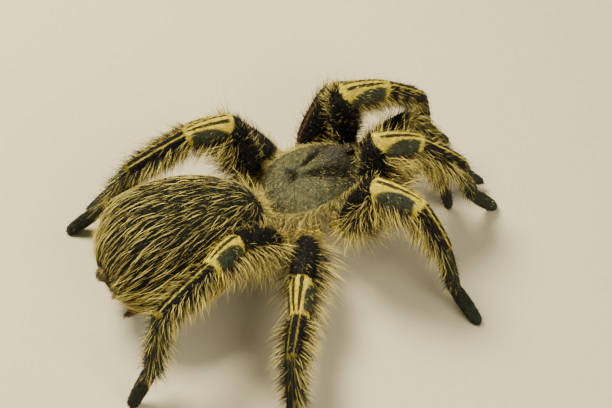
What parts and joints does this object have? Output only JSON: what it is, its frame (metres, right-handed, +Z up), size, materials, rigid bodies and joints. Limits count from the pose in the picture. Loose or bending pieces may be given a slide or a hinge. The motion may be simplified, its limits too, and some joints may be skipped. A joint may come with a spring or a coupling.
{
  "type": "tarantula",
  "caption": "Life-size still model of a golden-knee tarantula standing on its feet, dark velvet legs with gold-striped knees and a long pale-haired abdomen.",
  "frame": {"origin": "centre of the bounding box at floor level, 12 mm to the right of the middle line of the cephalothorax and just ahead of the waist", "axes": "+Z up, -Y the way the head faces, +X the spider's left side"},
  "size_m": [0.1026, 0.1104, 0.0401],
  "materials": {
    "dark_velvet": "matte, short dark hair with long pale bristles",
    "golden_knee": "matte, dark hair with lengthwise gold stripes",
    "olive_carapace": "satin, hard plate under short olive-gold hair",
    "tan_underside": "matte, tan and brown hair",
    "abdomen_coat": "matte, black-olive velvet under long pale tan hair",
    "black_claw": "glossy hard black",
    "eye_black": "glossy, wet black"
  },
  "bodies": {
    "root": {"carapace": "olive_carapace", "eyes": "eye_black", "underside": "tan_underside", "chelicera_left": "dark_velvet", "fang_left": "black_claw", "chelicera_right": "dark_velvet", "fang_right": "black_claw", "pedicel": "dark_velvet", "abdomen": "abdomen_coat", "spinneret_left": "dark_velvet", "spinneret_right": "dark_velvet", "palp_left_femur": "dark_velvet", "palp_left_patella": "golden_knee", "palp_left_tibia": "dark_velvet", "palp_left_tarsus": "dark_velvet", "palp_right_femur": "dark_velvet", "palp_right_patella": "golden_knee", "palp_right_tibia": "dark_velvet", "palp_right_tarsus": "dark_velvet", "leg_left_1_femur": "dark_velvet", "leg_left_1_patella": "golden_knee", "leg_left_1_tibia": "dark_velvet", "leg_left_1_metatarsus": "dark_velvet", "leg_left_1_tarsus": "dark_velvet", "leg_left_2_femur": "dark_velvet", "leg_left_2_patella": "golden_knee", "leg_left_2_tibia": "dark_velvet", "leg_left_2_metatarsus": "dark_velvet", "leg_left_2_tarsus": "dark_velvet", "leg_left_3_femur": "dark_velvet", "leg_left_3_patella": "golden_knee", "leg_left_3_tibia": "dark_velvet", "leg_left_3_metatarsus": "dark_velvet", "leg_left_3_tarsus": "dark_velvet", "leg_left_4_femur": "dark_velvet", "leg_left_4_patella": "golden_knee", "leg_left_4_tibia": "dark_velvet", "leg_left_4_metatarsus": "dark_velvet", "leg_left_4_tarsus": "dark_velvet", "leg_right_1_femur": "dark_velvet", "leg_right_1_patella": "golden_knee", "leg_right_1_tibia": "dark_velvet", "leg_right_1_metatarsus": "dark_velvet", "leg_right_1_tarsus": "dark_velvet", "leg_right_2_femur": "dark_velvet", "leg_right_2_patella": "golden_knee", "leg_right_2_tibia": "dark_velvet", "leg_right_2_metatarsus": "dark_velvet", "leg_right_2_tarsus": "dark_velvet", "leg_right_3_femur": "dark_velvet", "leg_right_3_patella": "golden_knee", "leg_right_3_tibia": "dark_velvet", "leg_right_3_metatarsus": "dark_velvet", "leg_right_3_tarsus": "dark_velvet", "leg_right_4_femur": "dark_velvet", "leg_right_4_patella": "golden_knee", "leg_right_4_tibia": "dark_velvet", "leg_right_4_metatarsus": "dark_velvet", "leg_right_4_tarsus": "dark_velvet"}
  },
  "joints": []
}
